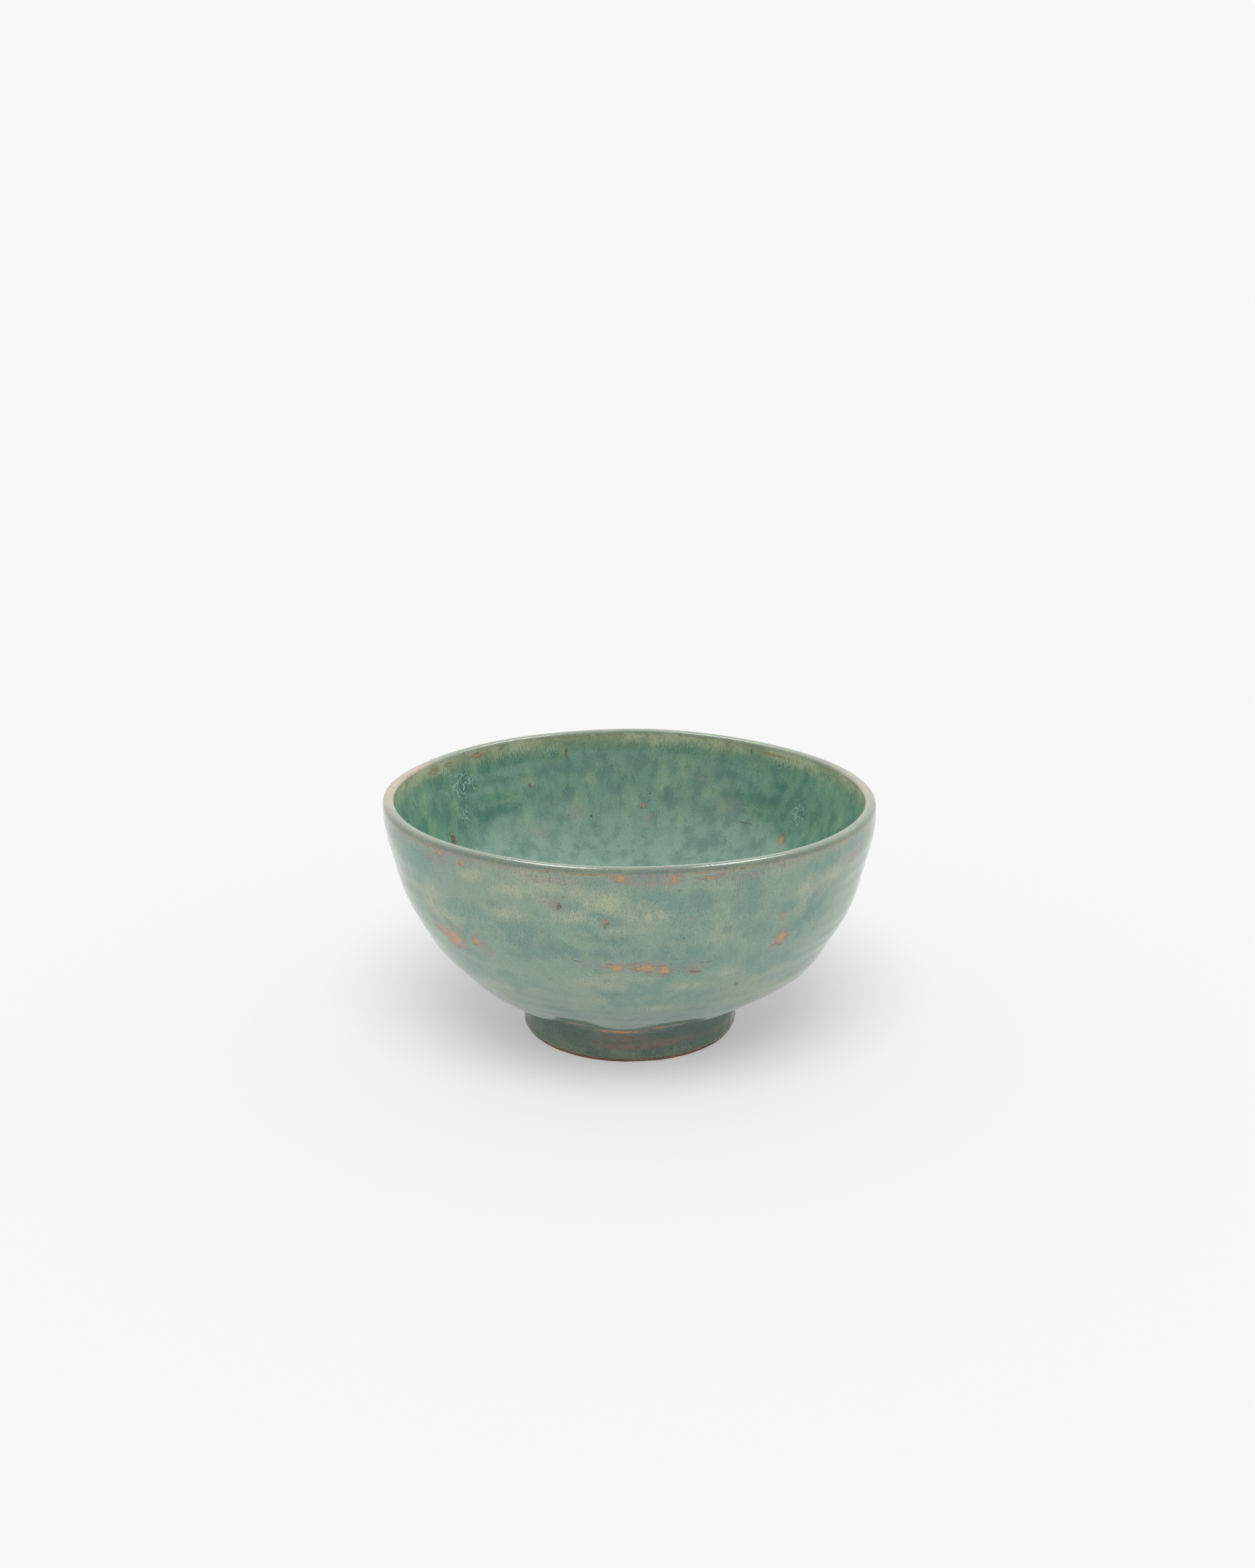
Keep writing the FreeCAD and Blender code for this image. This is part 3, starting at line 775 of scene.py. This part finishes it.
def make_bowl_body():
    outer = formed(outer_face(0, HIDDEN_LIP_ANGLES, *HIDDEN_STEPS), True)
    inner = formed(inner_face(0, HIDDEN_LIP_ANGLES, *HIDDEN_STEPS), False)
    wall_rows = len(HIDDEN_LIP_ANGLES) + len(wall_points(OUTER_ARCS, 0, HIDDEN_STEPS[0]))
    edge = outer[wall_rows - 1]
    base = [edge * (share, share, 1) for share in (0.75, 0.5, 0.25, 0)]
    return lathe("clay_bowl", np.array([*outer[:wall_rows], *base, *inner[:0:-1]]))


def make_foot_ring():
    """The ring that the bowl stands on, its rounded bare edge a little uneven from the hand."""
    top = BASE - SKIN / 2
    outer_edge = hollow_round((FOOT_OUTER - FOOT_EDGE, FOOT_EDGE), FOOT_EDGE, 0, -90, ROUND_STEPS)
    inner_edge = hollow_round((FOOT_INNER + FOOT_EDGE, FOOT_EDGE), FOOT_EDGE, -90, -180, ROUND_STEPS)
    section = np.vstack((
        (FOOT_OUTER, top), straight((FOOT_OUTER, top), outer_edge[0], 1.5), outer_edge[1:],
        straight(outer_edge[-1], inner_edge[0], 0.5), inner_edge[1:],
        straight(inner_edge[-1], (FOOT_INNER, top), 1.5),
    ))
    azimuth, radius, height, down = spun(section)
    wear = 0.06 * np.maximum(grain(azimuth, down, 7, 1, 60) + 1, 0) * hump(height, 0, 0.8)
    grid = placed(azimuth, radius, height + wear)
    return lathe("clay_foot_ring", grid, None, (0, len(section) - 1))


def make_luting_bead():
    corner = np.array((FOOT_OUTER + BEAD, BASE - BEAD))
    hollow = hollow_round(corner, BEAD, 90, 180, ROUND_STEPS)
    hollow += (SKIN / 2, -SKIN / 2)
    section = np.vstack((hollow, (FOOT_OUTER + SKIN / 2, BASE - SKIN / 2)))
    azimuth, radius, height, _ = spun(section)
    return lathe("clay_bead", placed(azimuth, radius, height), None, (0, ROUND_STEPS, ROUND_STEPS + 1))


outside_glaze = glaze_material("glaze_outside", True)
inside_glaze = glaze_material("glaze_inside", False)
stoneware = clay_material("stoneware")
placed_in_set(make_outside_glaze(), "outside_glaze", outside_glaze)
placed_in_set(make_inside_glaze(), "inside_glaze", inside_glaze)
placed_in_set(make_foot_well_glaze(), "foot_well_glaze", outside_glaze)
placed_in_set(make_bowl_body(), "bowl_body", stoneware)
placed_in_set(make_foot_ring(), "foot_ring", stoneware)
placed_in_set(make_luting_bead(), "luting_bead", stoneware)


# ---------------------------------------------------------------- stage, light and camera

FLOOR_SIZE = 60
FLOOR_SHADE, FLOOR_GLOW = 0.3, 0.372
EVEN_STRENGTH, EVEN_SPREAD, EVEN_SLANT = 3.45, 40, 30
STUDIO_GREY = 0.94
CAMERA_PLACE, CAMERA_TILT = (-0.00063, -0.4616, 0.2060), 16.17  # metres, and degrees below level
SENSOR_WIDTH, LENS = 36, 38.77  # millimetres


def grey(shade):
    return (shade, shade, shade, 1)


def make_floor():
    bpy.ops.mesh.primitive_plane_add(size=FLOOR_SIZE)
    floor = bpy.context.object
    floor.name = "floor"
    floor.data.materials.append(Nodes("floor").finish(
        Base_Color=grey(FLOOR_SHADE), Roughness=0.95, Specular_IOR_Level=0.0,
        Emission_Color=grey(1), Emission_Strength=FLOOR_GLOW,
    ))
    return floor


def hang(light, floor, link_state):
    """A lamp that lights the floor alone, or everything but the floor."""
    lamp = bpy.data.objects.new(light.name, light)
    bpy.context.scene.collection.objects.link(lamp)
    lit = bpy.data.collections.new(f"{light.name}_lights")
    lit.objects.link(floor)
    lit.collection_objects[0].light_linking.link_state = link_state
    lamp.light_linking.receiver_collection = lit
    return lamp


def softbox(name, place, size, power, floor):
    light = bpy.data.lights.new(name, "AREA")
    light.shape, light.size, light.size_y, light.energy = "RECTANGLE", *size, power
    hang(light, floor, "EXCLUDE").location = place


def even_light(floor):
    """The floor's own light, which reaches it as strongly far off as nearby."""
    light = bpy.data.lights.new("even_light", "SUN")
    light.energy, light.angle = EVEN_STRENGTH, math.radians(EVEN_SPREAD)
    hang(light, floor, "INCLUDE").rotation_euler = (math.radians(EVEN_SLANT), 0, 0)


def make_studio(scene):
    """An evenly grey room around the bowl."""
    world = bpy.data.worlds.new("studio")
    world.use_nodes = True
    background = world.node_tree.nodes["Background"]
    background.inputs["Color"].default_value = grey(STUDIO_GREY)
    background.inputs["Strength"].default_value = 1.0
    scene.world = world
    scene.view_settings.view_transform = "Standard"


def make_camera(scene):
    camera = bpy.data.objects.new("camera", bpy.data.cameras.new("camera"))
    camera.location = CAMERA_PLACE
    camera.rotation_euler = (math.radians(90 - CAMERA_TILT), 0, 0)
    camera.data.sensor_width, camera.data.lens = SENSOR_WIDTH, LENS
    camera.data.clip_start = 0.01
    scene.collection.objects.link(camera)
    scene.camera = camera


floor = make_floor()
even_light(floor)
softbox("softbox_left", (-0.23, 0.35, 1.0), (0.22, 0.8), 5.4, floor)
softbox("softbox_right", (0.37, 0.35, 1.0), (0.27, 0.8), 6.6, floor)
make_studio(bpy.context.scene)
make_camera(bpy.context.scene)
